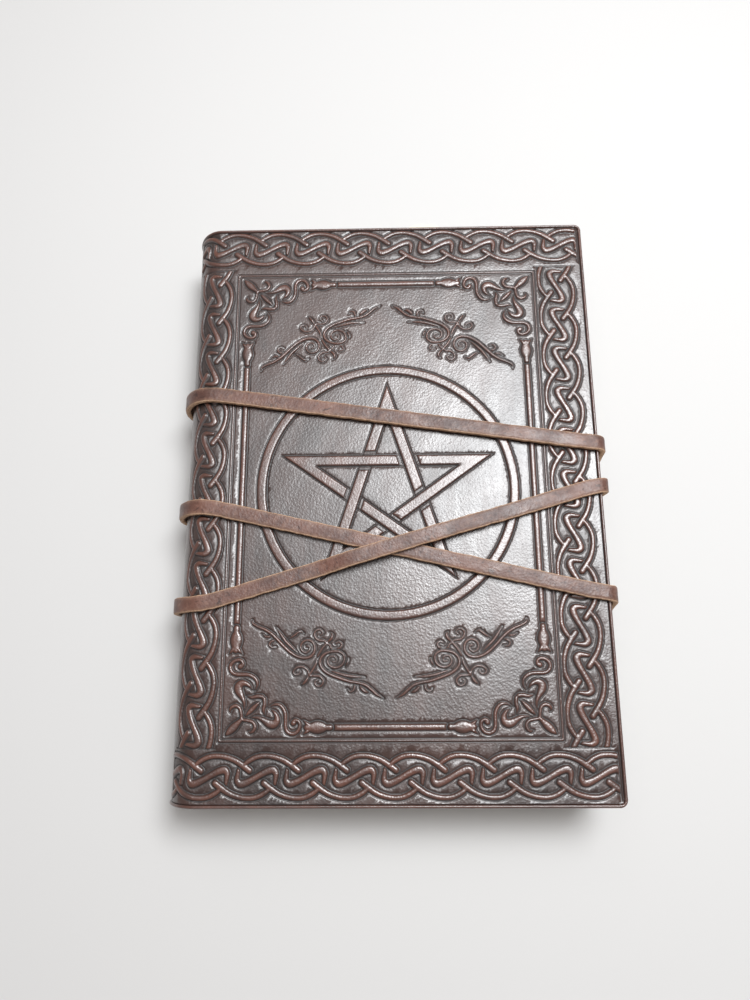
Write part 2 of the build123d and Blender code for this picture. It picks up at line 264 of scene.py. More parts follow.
# a quarter of the panel: lower right, measured from the panel's centre; the other quarters mirror it
quarter = dict(
    panelX=47.5, panelY=71.7, ribHalf=0.42,
    corner=dict(
        scroll=[
            (42.04, -51.89, 0.47), (41.55, -51.25, 0.51), (41.7, -50.35, 0.52), (42.51, -49.8, 0.54),
            (43.79, -49.97, 0.56), (44.85, -50.82, 0.6), (45.15, -52.02, 0.62), (44.55, -53.25, 0.62),
            (43.25, -53.77, 0.6), (41.55, -53.81, 0.6), (39.84, -53.92, 0.6), (38.39, -54.56, 0.58),
            (37.49, -55.52, 0.51), (37.28, -56.69, 0.41), (37.66, -57.82, 0.26), (38.28, -58.84, 0.06)
        ],
        ball=[(42.25, -51.5, 0.8), (42.36, -51.66, 0.8)],
        leaf=[
            (41.18, -64.05, 0.13), (40.76, -62.51, 0.34), (40.97, -61.02, 0.55), (41.7, -59.63, 0.9),
            (42.46, -58.35, 1.24), (42.61, -57.14, 1.3), (41.76, -56.24, 1.05), (40.59, -56.28, 0.8),
            (39.48, -56.92, 0.51), (38.67, -58.08, 0.13)
        ],
        bracket=[(39.99, -59.74, 0.21), (38.67, -60.06, 0.51), (37.17, -59.78, 0.6), (35.79, -59.88, 0.6)],
        curl=[
            (41.44, -65.61, 0.47), (41.61, -64.22, 0.51), (42.04, -62.94, 0.53), (43.1, -62.3, 0.58),
            (44.26, -62.68, 0.53), (44.77, -63.49, 0.38), (44.47, -64.26, 0.11)
        ],
    ),
    lozenge=[
        (36.23, -61.02, 0.09), (37.17, -61.93, 0.51), (38.35, -63.08, 0.77), (39.41, -64.15, 0.6),
        (40.59, -65.3, 0.09)
    ],
    petal=[(41.3, -65.86, 0.5), (42.51, -67.05, 0.9), (43.6, -68.14, 1.22), (44.7, -69.2, 0.96), (45.83, -70.3, 0.09)],
    fold=24.7,            # the corner figure mirrors across x + y = -fold
    bud=[
        (16.7, -68.2, 1.0), (17.9, -68.2, 0.95), (19.0, -68.2, 1.55), (20.2, -68.2, 1.9), (21.4, -68.2, 1.55),
        (22.6, -68.2, 1.05), (23.2, -68.2, 0.9)
    ],
    budTips=[
        [(22.3, -67.7, 0.6), (23.2, -67.1, 0.5), (24.2, -66.2, 0.12)],
        [(22.3, -68.7, 0.6), (23.2, -69.3, 0.5), (24.2, -70.1, 0.12)],
    ],
    sideBud=[
        (43.8, -40.9, 1.0), (43.8, -42.1, 0.95), (43.8, -43.2, 1.55), (43.8, -44.4, 1.85), (43.8, -45.6, 1.5),
        (43.8, -46.6, 1.05), (43.8, -47.2, 0.9)
    ],
    sideTips=[
        [(43.3, -46.4, 0.6), (42.7, -47.3, 0.5), (41.8, -48.3, 0.12)],
        [(44.3, -46.4, 0.6), (44.9, -47.3, 0.5), (45.8, -48.3, 0.12)],
    ],
    bar=[(-3.0, -68.2, 0.98), (8.0, -68.2, 0.98), (15.5, -68.2, 0.98)],
    sideBar=[(43.8, 4.0, 0.95), (43.8, -20.0, 0.95), (43.8, -39.4, 0.95)],
    spray=dict(
        tailB=[
            (1.81, -60.55, 0.13), (3.73, -59.43, 0.43), (5.07, -58.23, 0.45), (6.67, -56.98, 0.45), (8.8, -56.29, 0.45),
            (11.47, -55.81, 0.48), (14.13, -54.95, 0.51), (16.8, -53.94, 0.51), (18.67, -52.71, 0.51),
            (19.68, -51.17, 0.48), (19.52, -49.57, 0.45), (18.4, -48.29, 0.43), (16.67, -47.65, 0.4),
            (14.6, -47.6, 0.4), (13.0, -48.6, 0.4), (12.9, -50.3, 0.4), (13.87, -51.65, 0.4), (15.6, -52.08, 0.38),
            (17.1, -51.4, 0.37), (17.55, -50.2, 0.35), (17.0, -49.1, 0.32), (15.85, -48.95, 0.3), (15.1, -49.6, 0.27),
            (15.33, -50.5, 0.26), (16.1, -50.45, 0.3)
        ],
        lobeB=[
            (17.3, -52.9, 0.21), (15.2, -53.5, 0.42), (12.53, -54.2, 0.48), (9.87, -54.6, 0.42),
            (6.93, -54.74, 0.13)
        ],
        spurB=[(12.6, -51.9, 0.12), (11.9, -50.7, 0.36), (11.6, -49.5, 0.13)],
        hookB=[
            (9.87, -56.1, 0.37), (9.87, -57.3, 0.37), (10.27, -58.37, 0.37), (11.33, -58.63, 0.32),
            (11.95, -57.78, 0.13)
        ],
        budB=[(8.67, -56.45, 0.13), (7.95, -57.78, 0.48), (6.93, -58.63, 0.48), (5.87, -58.95, 0.16)],
        tailA=[
            (39.33, -38.5, 0.13), (39.2, -39.57, 0.37), (37.6, -40.55, 0.45), (35.6, -41.35, 0.48),
            (33.6, -42.63, 0.51), (31.87, -44.23, 0.51), (30.27, -45.89, 0.51), (28.27, -47.7, 0.51),
            (26.27, -48.9, 0.48), (24.27, -49.38, 0.48), (22.45, -48.98, 0.45), (21.4, -47.7, 0.43), (21.3, -46.1, 0.4),
            (22.1, -44.8, 0.38), (23.5, -44.4, 0.37), (24.8, -45.03, 0.37), (25.28, -46.37, 0.37), (24.75, -47.5, 0.35),
            (23.6, -47.85, 0.32), (22.75, -47.1, 0.29), (22.9, -46.1, 0.27), (23.6, -46.1, 0.3)
        ],
        lobeA=[
            (26.1, -48.0, 0.16), (27.9, -46.3, 0.42), (29.7, -44.5, 0.48), (31.07, -42.6, 0.4), (32.4, -40.71, 0.11)
        ],
        hookA=[
            (30.93, -44.63, 0.32), (32.27, -44.45, 0.35), (33.6, -44.63, 0.37), (34.27, -45.57, 0.37),
            (33.47, -46.42, 0.32), (32.27, -46.23, 0.13)
        ],
        budA=[(32.8, -42.77, 0.37), (33.73, -43.17, 0.43), (35.2, -43.38, 0.37), (36.48, -42.63, 0.13)],
        leafA=[
            (29.07, -44.1, 0.11), (27.73, -43.43, 0.34), (26.67, -42.63, 0.4), (25.6, -41.97, 0.34),
            (24.4, -42.5, 0.11)
        ],
        stem1=[(20.3, -49.6, 0.34), (21.1, -51.5, 0.4), (22.0, -53.0, 0.38), (22.8, -54.2, 0.32)],
        curl1L=[
            (22.8, -54.1, 0.3), (23.2, -52.77, 0.33), (24.53, -51.83, 0.36), (26.27, -51.97, 0.37),
            (27.25, -53.03, 0.35), (26.67, -53.97, 0.32), (25.47, -53.7, 0.27), (25.39, -52.98, 0.25)
        ],
        curl1R=[
            (22.61, -54.31, 0.3), (21.33, -54.31, 0.35), (19.73, -54.5, 0.37), (18.72, -55.7, 0.37),
            (19.33, -57.03, 0.35), (20.67, -56.98, 0.32), (21.12, -55.97, 0.27), (20.4, -55.38, 0.25)
        ],
        bud1=[(22.93, -54.37, 0.21), (23.47, -55.43, 0.46), (24.27, -56.37, 0.38), (24.93, -56.9, 0.11)],
        stem2=[(20.4, -48.9, 0.3), (19.4, -47.1, 0.4), (18.5, -46.0, 0.4), (17.87, -45.3, 0.32)],
        curl2R=[
            (17.87, -45.3, 0.3), (16.93, -45.9, 0.33), (16.6, -46.7, 0.33), (15.4, -46.9, 0.34), (14.0, -46.6, 0.34),
            (13.6, -45.5, 0.32), (14.5, -45.0, 0.27), (15.3, -45.4, 0.24)
        ],
        curl2L=[
            (17.87, -45.17, 0.3), (18.67, -44.63, 0.35), (20.27, -44.4, 0.37), (21.3, -43.3, 0.36),
            (21.2, -41.97, 0.35), (20.0, -41.43, 0.32), (18.93, -42.37, 0.27), (19.73, -43.1, 0.25)
        ],
        bud2=[(17.87, -45.17, 0.21), (16.67, -44.1, 0.46), (16.27, -43.0, 0.38), (16.93, -42.2, 0.11)],
    ),
)


# every figure of the quarter raised in turn; the corner figures are made once and once more mirrored
def quarterRelief(withSpray=True):
    q = quarter
    X, Y, patch = raster(0.0, 49.0, -73.2, 0.0, 0.1)
    mirror = lambda line: [(-q["fold"] - y, -q["fold"] - x, w) for x, y, w in line]
    groups = [[q["bar"]], [q["sideBar"]], [q["bud"], *q["budTips"]], [q["sideBud"], *q["sideTips"]]]
    if withSpray:
        s = q["spray"]
        flowers = ("stem1", "curl1L", "curl1R", "bud1", "stem2", "curl2R", "curl2L", "bud2")
        groups += [[s[part] for part in flowers]]
        stems = ("lobeB", "lobeA", "hookB", "budB", "spurB", "hookA", "budA", "leafA", "tailB", "tailA")
        groups += [[s[part]] for part in stems]
    c = q["corner"]
    for make in (list, mirror):
        groups += [[make(c["scroll"]), make(c["ball"])], [make(c["leaf"])]]
    groups += [[c["bracket"], mirror(c["bracket"])], [q["lozenge"]], [q["petal"], c["curl"], mirror(c["curl"])]]
    for group in groups:
        patch["z"] = raiseStrand(patch["z"], *strokeReach(X, Y, group), grooveWidth=0.36)
    # the thin rib that frames the panel, a rectangle seen as the nearer of two straight lines
    dx, dy = np.abs(X - q["panelX"]), np.abs(Y + q["panelY"])
    side = np.where(Y > -q["panelY"], dx, np.hypot(dx, dy))
    foot = np.where(X < q["panelX"], dy, np.hypot(dx, dy))
    reach = np.minimum(side, foot) - q["ribHalf"]
    patch["z"] = raiseStrand(patch["z"], reach, np.full(X.shape, q["ribHalf"]), top=-0.12, grooveWidth=0.34)
    return patch


star = dict(
    centre=(-0.4, 0.6), ring=37.9, ringHalf=1.5,
    point=33.4, starCentreY=0.5, band=3.35,
    gap=1.15,             # plain leather beside a bar where another stops short of it
    groove=0.42, nearPoint=11.5,
)


# the ring is a band between two circles; each bar of the star lies between the line through two points and its
# parallel, and is made in two halves, the under halves first
def ringAndStar(X, Y, z):
    cx, cy = star["centre"]
    reach = np.abs(np.hypot(X - cx, Y - cy) - star["ring"]) - star["ringHalf"]
    z = raiseStrand(z, reach, np.full(X.shape, star["ringHalf"]), grooveWidth=0.4, crown=5.0)
    angle = np.radians(90 + 72 * np.arange(5))
    tips = np.stack([cx + star["point"] * np.cos(angle), star["starCentreY"] + star["point"] * np.sin(angle)], 1)
    centre = np.array([cx, star["starCentreY"]])
    # bars as pairs of points: apex 0, left 1, lower left 2, lower right 3, right 4
    bars = []
    for a, b in ((1, 4), (0, 2), (1, 3), (4, 2), (0, 3)):
        p, d = tips[a], tips[b] - tips[a]
        length = np.hypot(*d)
        d = d / length
        n = np.array([-d[1], d[0]])
        n *= np.sign((centre - p) @ n)
        bars.append((p, d, n, length, a, b))

    def across(bar):
        p, d, n = bar[:3]
        return (X - p[0]) * n[0] + (Y - p[1]) * n[1], (X - p[0]) * d[0] + (Y - p[1]) * d[1]

    def inBand(bar):
        s = across(bar)[0]
        return (s > 0) & (s < star["band"])

    # the half of each bar that lies over the bars it meets, from its first point or its second
    overEnd = (0, 1, 1, 0, 0)
    h, low, field = star["band"] / 2, relief["groove"], relief["field"]
    for layer in (0, 1):
        for k, bar in enumerate(bars):
            length, a, b = bar[3:]
            s, t = across(bar)
            firstHalf = (overEnd[k] == 0) == (layer == 1)
            half = t <= length / 2 if firstHalf else t > length / 2
            tip = a if firstHalf else b
            near = np.hypot(X - tips[tip][0], Y - tips[tip][1]) < star["nearPoint"]
            partner = [other for other in bars if other is not bar and tip in (other[4], other[5])][0]
            shared = near & inBand(partner)
            reach = np.where(half & (t > -0.5) & (t < length + 0.5), np.abs(s - h) - h, 9.0)
            reach = np.where(near, np.maximum(reach, -across(partner)[0]), reach)
            body = raiseStrand(z, np.where(reach <= 0, reach, 9.0), np.full(X.shape, h), crown=9.0)
            around = (reach > 0) & ~shared
            if layer:
                # an under bar stops short of the one above it, with plain leather between
                crossing = around & (z > field + 0.06) & (np.hypot(X - tips[tip][0], Y - tips[tip][1]) > 18)
                cut, end = crossing & (reach < star["gap"]), crossing & (reach >= star["gap"])
                z = np.where(cut, field, z)
                z = np.where(end, np.minimum(z, low + 0.25 + (z - low) * ease(reach, star["gap"], star["gap"] + 0.45)), z)
            bank = low + (field - low) * ease(reach, 0.08, star["groove"])
            z = np.where(around & (reach < star["groove"]), np.minimum(z, bank), z)
            z = np.where(reach <= 0, np.where(shared, np.maximum(body, z), body), z)
    # each point is finished as one wedge between its two outer lines
    for k in range(5):
        first, second = [bar for bar in bars if k in (bar[4], bar[5])]
        wedge = np.maximum(-across(first)[0], -across(second)[0])
        near = np.hypot(X - tips[k][0], Y - tips[k][1]) < 8.0
        crown = low - low * np.sqrt(np.clip(1 - np.clip(1 + wedge / h, 0, 1) ** 9, 0, 1))
        z = np.where(near & (wedge <= 0) & (wedge > -0.5), crown, z)
        bank = low + (field - low) * ease(wedge, 0.08, star["groove"])
        z = np.where(near & (wedge > 0) & (wedge < star["groove"]), bank, z)
    return z


knotRaster = knotTile()
borders = dict(
    tail=dict(along=(16.5, -80.75), ends=(-63.4, 61.6)),
    head=dict(along=(2.65, 81.6), ends=(-63.4, 61.6)),
    spineSide=dict(across=-55.5, start=66.75, ends=(-73.4, 73.9)),
    foreSide=dict(across=54.1, start=66.75, ends=(-73.4, 73.9)),
    halfBand=6.75,
)


# the knotwork repeats along each side; it is read from its raster at the place inside one repeat
def knotBorder(X, Y, z):
    p = knot["period"]
    for side in ("tail", "head"):
        x0, y0 = borders[side]["along"]
        lx = (X - x0 + p / 2) % p - p / 2
        end = np.minimum(X - borders[side]["ends"][0], borders[side]["ends"][1] - X)
        inside = (np.abs(Y - y0) < borders["halfBand"]) & (end > -0.4)
        band = readRaster(knotRaster, lx, Y - y0)
        band = np.where(end < 0, np.minimum(relief["field"], relief["groove"] + 1.2 * np.abs(end)), band)
        z = np.where(inside, band, z)
    for side in ("spineSide", "foreSide"):
        b = borders[side]
        ly = (Y - b["start"] + p / 2) % p - p / 2
        end = np.minimum(Y - b["ends"][0], b["ends"][1] - Y)
        inside = (np.abs(X - b["across"]) < borders["halfBand"]) & (end > -0.4)
        band = readRaster(knotRaster, ly, -(X - b["across"]))
        band = np.where(end < 0, np.minimum(relief["field"], relief["groove"] + 1.2 * np.abs(end)), band)
        z = np.where(inside, band, z)
    return z


# the whole cover flattened out: s runs from the middle of the spine to the fore-edge, t from tail to head
def coverRelief(step, centreFigure):
    s = spineSeam + step * np.arange(int((62.25 - spineSeam) / step) + 1)
    t = np.arange(-87.75, 87.76, step)
    X, Y = np.meshgrid(s, t)
    z = knotBorder(X, Y, np.full(X.shape, relief["field"]))
    px, py = X + 0.4, Y - 0.3
    patch = quarterRelief(withSpray=centreFigure)
    inner = (np.abs(px) < 48.6) & (np.abs(py) < 72.8)
    z = np.where(inner, readRaster(patch, np.abs(px), -np.abs(py)), z)
    if centreFigure:
        mid = (np.abs(px) < 41.0) & (np.abs(py) < 41.5)
        z = np.where(mid, ringAndStar(X, Y, z), z)
    # slow unevenness of hand-pressed leather
    z = z + 0.03 * np.sin(X * 0.21 + 1.3) * np.sin(Y * 0.17 + 0.4) + 0.02 * np.sin(X * 0.53 - Y * 0.31)
    # the hollow mask marks where the leather lies below its close and wide surroundings; the leather material paints
    # shade there, partly dark wax build-up, and makes it rougher
    close, wide = blur(z, 0.7 / step), blur(z, 2.6 / step)
    hollowShadeAndWax = np.clip(0.75 * np.clip((close - z) / 0.26, 0, 1) + 0.38 * np.clip((wide - z - 0.04) / 0.25, 0, 1), 0, 1)
    return dict(s=s, t=t, X=X, Y=Y, z=np.minimum(z, 0.02), hollowShadeAndWax=hollowShadeAndWax, ridge=np.clip((z - wide - 0.05) / 0.28, 0, 1))


# wraps the flattened cover over the book: level beyond the joint, round the ellipse before it;
# height h is measured outwards along the surface's own normal; the back cover is the same turned over
def wrap(s, t, h, back=False):
    s, t, h = np.broadcast_arrays(np.asarray(s, float), np.asarray(t, float), np.asarray(h, float))
    a = np.interp(book["joint"] - s, spineLength, spineAngle)
    nx, nz = book["spineHalf"] * np.sin(a), book["spineDepth"] * np.cos(a)
    length = np.hypot(nx, nz)
    onSpine = s < book["joint"]
    x = np.where(onSpine, book["joint"] - book["spineDepth"] * np.sin(a) - h * nx / length, s)
    z = np.where(onSpine, middle + book["spineHalf"] * np.cos(a) + h * nz / length, book["front"] + h)
    if back:
        z = 2 * middle - z
    return np.stack([x, t, z], -1)


# faces with their corners in the other order, for the back cover
def turned(faces, back):
    return faces[:, ::-1] if back else faces


# thins a mesh to a number of triangles where it is flat, keeping its figures
def thin(piece, most):
    piece.data.calc_loop_triangles()
    count = len(piece.data.loop_triangles)
    if count > most:
        modifier = piece.modifiers.new("thin", "DECIMATE")
        modifier.ratio = most / count
        solved = piece.evaluated_get(bpy.context.evaluated_depsgraph_get())
        mesh = bpy.data.meshes.new_from_object(solved)
        piece.modifiers.clear()
        piece.data = mesh
        mesh.polygons.foreach_set("use_smooth", np.full(len(mesh.polygons), True))
    return piece


# the part of the flattened cover that keep picks, wrapped round the book at its embossed height
def addSkin(name, sheet, keep, back, most):
    faces = gridQuads(len(sheet["t"]), len(sheet["s"]))[:, ::-1]
    centre = sheet["X"].ravel()[faces].mean(1), sheet["Y"].ravel()[faces].mean(1)
    faces = turned(faces[keep(*centre)], back)
    used, faces = np.unique(faces, return_inverse=True)
    faces = faces.reshape(-1, 4)
    points = wrap(sheet["X"].ravel()[used], sheet["Y"].ravel()[used], sheet["z"].ravel()[used], back)
    piece = thin(makePiece(name, points, faces), most)
    # the thinned points read their hollows, which carry painted shade and dark wax, and their ridges back from the
    # flattened cover
    co = coordinates(piece)
    z = 2 * middle - co[:, 2] if back else co[:, 2]
    angle = np.arctan2((book["joint"] - co[:, 0]) / book["spineDepth"], (z - middle) / book["spineHalf"])
    s = np.where(co[:, 0] < book["joint"], book["joint"] - np.interp(angle, spineAngle, spineLength), co[:, 0])
    for key in ("hollowShadeAndWax", "ridge"):
        grid = dict(x0=sheet["s"][0], y0=sheet["t"][0], step=sheet["s"][1] - sheet["s"][0], z=sheet[key])
        mark(piece, key, readRaster(grid, s, co[:, 1]))
    return piece


inPanel = lambda x, y: (np.abs(x + 0.4) < 48.25) & (np.abs(y - 0.3) < 72.45)
inBorder = lambda x, y: ~inPanel(x, y)

frontSheet = coverRelief(relief["grid"], True)
print("relief worked out:", frontSheet["z"].shape)
frontPanel = addSkin("frontPanelLeather", frontSheet, inPanel, False, 190000)
frontBorder = addSkin("frontBorderLeather", frontSheet, inBorder, False, 192000)
backSheet = coverRelief(relief["backGrid"], False)
backPanel = addSkin("backPanelLeather", backSheet, inPanel, True, 60000)
backBorder = addSkin("backBorderLeather", backSheet, inBorder, True, 170000)
print("cover leather:", [len(piece.data.polygons) for piece in (frontPanel, frontBorder, backPanel, backBorder)])


rim = dict(
    corner=2.2,
    # inset from the edge, height on the cover, height on the spine, how pale the cut edge is
    profile=[
        (1.45, -0.40, -0.40, 0), (1.32, -0.62, -0.62, 0), (1.2, -0.84, -0.84, 0), (1.08, -0.6, -0.6, 0),
        (0.95, -0.24, -0.24, 0),
        (0.78, -0.04, -0.04, 0), (0.58, 0.0, 0.0, 0), (0.38, -0.06, -0.06, 0), (0.2, -0.22, -0.22, 0),
        (0.07, -0.5, -0.45, 0),
        (0.0, -0.85, -0.7, 0), (0.0, -1.2, -0.9, 0), (0.05, -1.42, -1.05, 0.5), (0.12, -1.5, -1.12, 1),
        (0.1, -1.62, -1.2, 1), (0.02, -1.75, -1.3, 0.4),
        (0.0, -2.2, -1.45, 0), (0.0, -2.9, -1.6, 0), (0.06, -3.45, -1.8, 0), (0.25, -3.78, -2.0, 0),
        (0.6, -3.9, -2.1, 0),
        (2.0, -3.9, -2.1, 0), (6.0, -3.9, -2.1, 0), (11.4, -3.9, -2.1, 0), (11.95, -3.86, -2.06, 0.6),
        (12.0, -3.75, -2.0, 1), (12.0, -3.35, -1.6, 1),
    ],
)


# the rounded edge and the turn-in: one profile carried along three sides of the flattened cover,
# the inset moves each point towards the middle, and past the corner's radius the path is mitred
def addRim(name, back):
    w, h, r = book["halfWidth"], book["halfHeight"], rim["corner"]
    inset, onCover, onSpine, pale = np.array(rim["profile"]).T[:, None, :]
    u = np.linspace(0, 1, 330)[:, None]
    radius = np.maximum(r - inset, 0)
    cornerInset = np.maximum(inset, r)
    arc = np.linspace(0, np.pi / 2, 14)[:, None]
    tailS, tailT = spineSeam + u * (w - cornerInset - spineSeam), -h + inset + 0 * u
    turn1S, turn1T = w - cornerInset + radius * np.sin(arc), -h + cornerInset - radius * np.cos(arc)
    v = np.linspace(0, 1, 300)[:, None]
    foreS, foreT = w - inset + 0 * v, -h + cornerInset + v * (2 * h - 2 * cornerInset)
    turn2S, turn2T = w - cornerInset + radius * np.cos(arc), h - cornerInset + radius * np.sin(arc)
    headS, headT = tailS[::-1], h - inset + 0 * u
    s = np.vstack([tailS, turn1S, foreS, turn2S, headS])
    t = np.vstack([tailT, turn1T, foreT, turn2T, headT])
    spine = 1 - ease(s, -55.0, -51.5)
    height = onCover * (1 - spine) + onSpine * spine
    points = wrap(s, t, height, back)
    piece = makePiece(name, points, turned(gridQuads(*s.shape), not back))
    lip = np.broadcast_to(np.exp(-((inset - 0.6) / 0.35) ** 2), s.shape) * (height > -0.5)
    # the groove in the rim's profile gets the same painted shade and dark wax as the hollows of the cover
    mark(piece, "hollowShadeAndWax", np.broadcast_to(np.exp(-((inset - 1.22) / 0.15) ** 2), s.shape))
    mark(piece, "ridge", lip)
    mark(piece, "cut", np.broadcast_to(pale, s.shape))
    return piece


frontRim = addRim("frontCoverEdge", False)
backRim = addRim("backCoverEdge", True)


# the flesh side of the leather between the spine and the boards
def addFoldLining(name, back):
    s, t = np.meshgrid(np.linspace(-63.0, -50.2, 40), np.linspace(-86.8, 86.8, 120))
    points = wrap(s, t, -1.5 - 0.05 * np.sin(t * 0.8) * np.sin(s * 1.3), back)
    return makePiece(name, points, turned(gridQuads(*s.shape), back))


frontFold = addFoldLining("frontFoldLining", False)
backFold = addFoldLining("backFoldLining", True)
for piece in (frontBorder, frontRim, frontFold):
    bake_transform(piece)
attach(frontPanel, "front_cover")
for piece in (backPanel, backBorder, backRim, backFold):
    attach(piece, "book_block")
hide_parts("front_cover_leather")
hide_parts("front_cover_leather", "spine_leather")
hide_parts("front_cover_leather")
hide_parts("back_cover_leather", "spine_leather")
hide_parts("back_cover_leather")
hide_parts("back_cover_leather")
print("cover edges and turn-ins done")


paper = dict(
    sheets=12,            # to a gathering
    inset=6.0,            # each band of paper reaches this far in from its edge
    fill=0.80,            # share of its space that a sheet fills, the rest is air
    rounding=0.9,         # the outer sheets of a gathering fold this much further in
    tornFore=0.42, tornEnds=0.3, uneven=0.22,
    seed=71,
)


# uneven torn edge: sines of many lengths with chance phases, longer ones stronger
def torn(along, depth, seed):
    chance = np.random.default_rng(seed)
    waves = np.array([0.03, 0.07, 0.13, 0.22, 0.41, 0.75, 1.3, 2.1])
    size = depth * np.array([0.5, 0.55, 0.4, 0.35, 0.3, 0.26, 0.2, 0.13])
    phase = chance.uniform(0, 2 * np.pi, 8)
    stretch = chance.uniform(0.8, 1.25, 8)
    return (size * np.sin(2 * np.pi * np.multiply.outer(along, waves * stretch) + phase)).sum(-1)


# one gathering: each sheet is a thin closed band that follows the torn outline, straight at its fold
def addSection(index):
    low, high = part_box(f"section_{index}")
    low, high = np.array(low) / mm, np.array(high) / mm
    thick = (high[2] - low[2]) / paper["sheets"]
    u, v = np.linspace(0, 1, 74, endpoint=False), np.linspace(0, 1, 104, endpoint=False)
    allPoints, allFaces, tint = [], [], []
    for k in range(paper["sheets"]):
        seed = paper["seed"] + 100 * index + k
        chance = np.random.default_rng(seed)
        mid = (k + 0.5) / paper["sheets"] * 2 - 1
        fold = low[0] + paper["rounding"] * (1 - np.sqrt(max(0, 1 - mid**2 * 0.98)))
        shift = chance.normal(0, paper["uneven"], 3)
        x1, y0, y1 = high[0] - 0.1 + shift[0], low[1] + shift[1], high[1] + shift[2]
        span = x1 - fold
        tail = np.stack([fold + u * span, y0 + torn(u * span, paper["tornEnds"], seed + 1) * ease(u, 0, 0.1)], 1)
        fore = np.stack([x1 + torn(v * 174, paper["tornFore"], seed + 2), y0 + v * (y1 - y0)], 1)
        head = np.stack([x1 - u * span, y1 + torn(u * span, paper["tornEnds"], seed + 3) * ease(1 - u, 0, 0.1)], 1)
        back = np.stack([fold + 0 * v, y1 - v * (y1 - y0)], 1)
        outline = np.vstack([tail, fore, head, back])
        centre = np.array([(fold + x1) / 2, 0.0])
        halfSize = np.array([(x1 - fold) / 2, (y1 - y0) / 2])
        inner = centre + (outline - centre) * (1 - paper["inset"] / halfSize)
        z = low[2] + k * thick
        lift = 0.05 * np.sin(np.linspace(0, 2 * np.pi * 5, len(outline)) + chance.uniform(0, 6))
        z0, z1 = z + 0.02 + 0 * lift, z + thick * paper["fill"] + 0.25 * lift * thick
        rings = [np.column_stack(ring) for ring in ((inner, z0), (outline, z0), (outline, z1), (inner, z1))]
        faces = gridQuads(4, len(outline), True, True)
        allFaces.append(faces[:, ::-1] + k * 4 * len(outline))
        allPoints.append(np.vstack(rings))
        tint.append(np.full(4 * len(outline), chance.uniform(0, 1)))
    piece = makePiece(f"section{index}Sheets", np.vstack(allPoints), np.vstack(allFaces), smooth=False)
    mark(piece, "tint", np.concatenate(tint))
    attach(piece, "book_block")
    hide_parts(f"section_{index}")


for index in range(1, 9):
    addSection(index)
print("sections done")


# a sheet with a top and a bottom face over the same grid, closed round its edge
def addSheet(name, X, Y, zTop, zBottom, body, node, blended=True):
    rows, cols = X.shape
    top = np.stack([X, Y, zTop], -1).reshape(-1, 3)
    bottom = np.stack([X, Y, zBottom], -1).reshape(-1, 3)
    faces = gridQuads(rows, cols)[:, ::-1]
    tailEdge, foreEdge = np.arange(cols), np.arange(1, rows) * cols + cols - 1
    headEdge, foldEdge = rows * cols - 2 - np.arange(cols - 1), (rows - 2 - np.arange(rows - 2)) * cols
    edge = np.concatenate([tailEdge, foreEdge, headEdge, foldEdge])
    ring = np.roll(edge, -1)
    n = rows * cols
    side = np.stack([edge, edge + n, ring + n, ring], 1)
    piece = makePiece(name, np.vstack([top, bottom]), np.vstack([faces, faces[:, ::-1] + n, side]), smooth=False)
    mark(piece, "tint", np.full(2 * n, (sum(map(ord, name)) % 17) / 17))
    if blended:
        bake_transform(piece)
    else:
        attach(piece, body)
    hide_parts(node)


leaves = dict(
    names=["front_flyleaf", "leaf_1", "leaf_2", "leaf_3", "leaf_4"],
    tongue=[2.9, 5.9, 5.7, 1.2, 0.6],       # a torn tongue of paper that looks out over the head
    tongueAt=[15.0, 12.5, 14.0, 9.0, 20.0], tongueWide=[6.0, 7.5, 6.5, 5.0, 4.0],
    fold=-57.0, fore=61.6, half=87.0,       # where a leaf starts and ends
)
for k, node in enumerate(leaves["names"]):
    low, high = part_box(node)
    z1 = high[2] / mm
    x, y = np.meshgrid(np.linspace(0, 1, 90), np.linspace(0, 1, 120))
    x0, x1, half = leaves["fold"], leaves["fore"], leaves["half"]
    offTongue = (x0 + x * (x1 - x0) - leaves["tongueAt"][k]) / leaves["tongueWide"][k]
    head = half + torn(x * 118, paper["tornEnds"], 900 + k) + leaves["tongue"][k] * np.exp(-np.abs(offTongue) ** 4)
    tail = -half + torn(x * 118, paper["tornEnds"], 950 + k)
    right = x1 + torn(y * 174, paper["tornFore"], 800 + k)
    X, Y = x0 + x * (right - x0), tail + y * (head - tail)
    wave = 0.03 * np.sin(X * 0.09 + k) * np.sin(Y * 0.07 + 2 * k) * ease(X, -50, -20)
    addSheet(f"{node}Sheet", X, Y, z1 - 0.03 + wave, z1 - 0.22 + wave, node, node)
x, y = np.meshgrid(np.linspace(-56.0, 61.6, 80), np.linspace(-87, 87, 110))
low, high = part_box("back_flyleaf")
edgeY = y + np.sign(y) * torn(x, 0.2, 41) * (np.abs(y) > 84)
edgeX = x + torn(y, 0.3, 42) * (x > 60)
zTop, zBottom = high[2] / mm - 0.03 + 0 * x, low[2] / mm + 0.03 + 0 * x
addSheet("backFlyleafSheet", edgeX, edgeY, zTop, zBottom, "book_block", "back_flyleaf", blended=False)
for node, body, face in (("front_pastedown", "front_cover", -1), ("back_pastedown", "book_block", 1)):
    low, high = np.array(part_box(node)) / mm
    x, y = np.meshgrid(np.linspace(low[0], high[0] - 0.05, 70), np.linspace(low[1] + 0.05, high[1] - 0.05, 90))
    bump = 0.05 * np.sin(x * 0.11) * np.sin(y * 0.09) + 0.03 * np.sin(x * 0.4 + y * 0.23)
    border = ease(np.minimum(np.minimum(x - low[0], high[0] - x), high[1] - np.abs(y)), 0, 2.5)
    # only the face that shows is uneven
    if face > 0:
        zTop, zBottom = high[2] - (0.10 - 0.08 * border + 0.0) + bump * border - 0.06, low[2] + 0.02 + 0 * x
    else:
        zTop, zBottom = high[2] - 0.02 + 0 * x, low[2] + (0.16 - 0.08 * border + bump * border)
    addSheet(f"{body}PastedownSheet", x, y, zTop, zBottom, body, node, blended=False)
print("leaves and pastedowns done")


